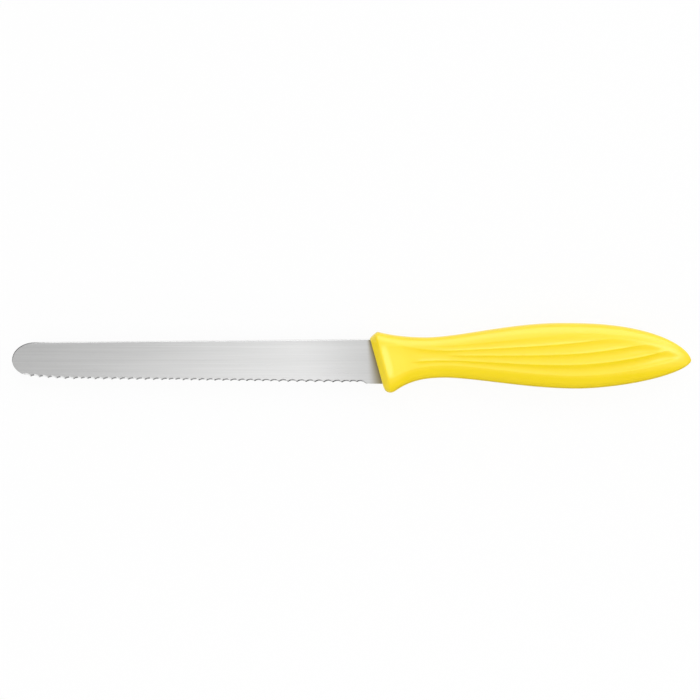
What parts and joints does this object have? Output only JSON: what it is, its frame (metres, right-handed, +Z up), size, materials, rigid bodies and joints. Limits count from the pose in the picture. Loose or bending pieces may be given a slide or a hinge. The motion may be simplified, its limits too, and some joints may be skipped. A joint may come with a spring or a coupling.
{
  "type": "serrated utility knife",
  "caption": "Serrated utility knife with a round-tipped, scallop-ground steel blade and a fluted plastic handle moulded round its tang.",
  "frame": {"origin": "middle of the box's base: the knife lies on its side, and its lowest point is on the surface", "axes": "+X from the blade's tip to the tail of the handle, +Y from the cutting edge to the spine, +Z up, across the thickness"},
  "size_m": [0.242, 0.0248, 0.015],
  "materials": {
    "blade_steel": "ground and brushed along its length",
    "handle_plastic": "satin moulded yellow polypropylene"
  },
  "bodies": {
    "root": {"blade": "blade_steel", "handle": "handle_plastic"}
  },
  "joints": []
}
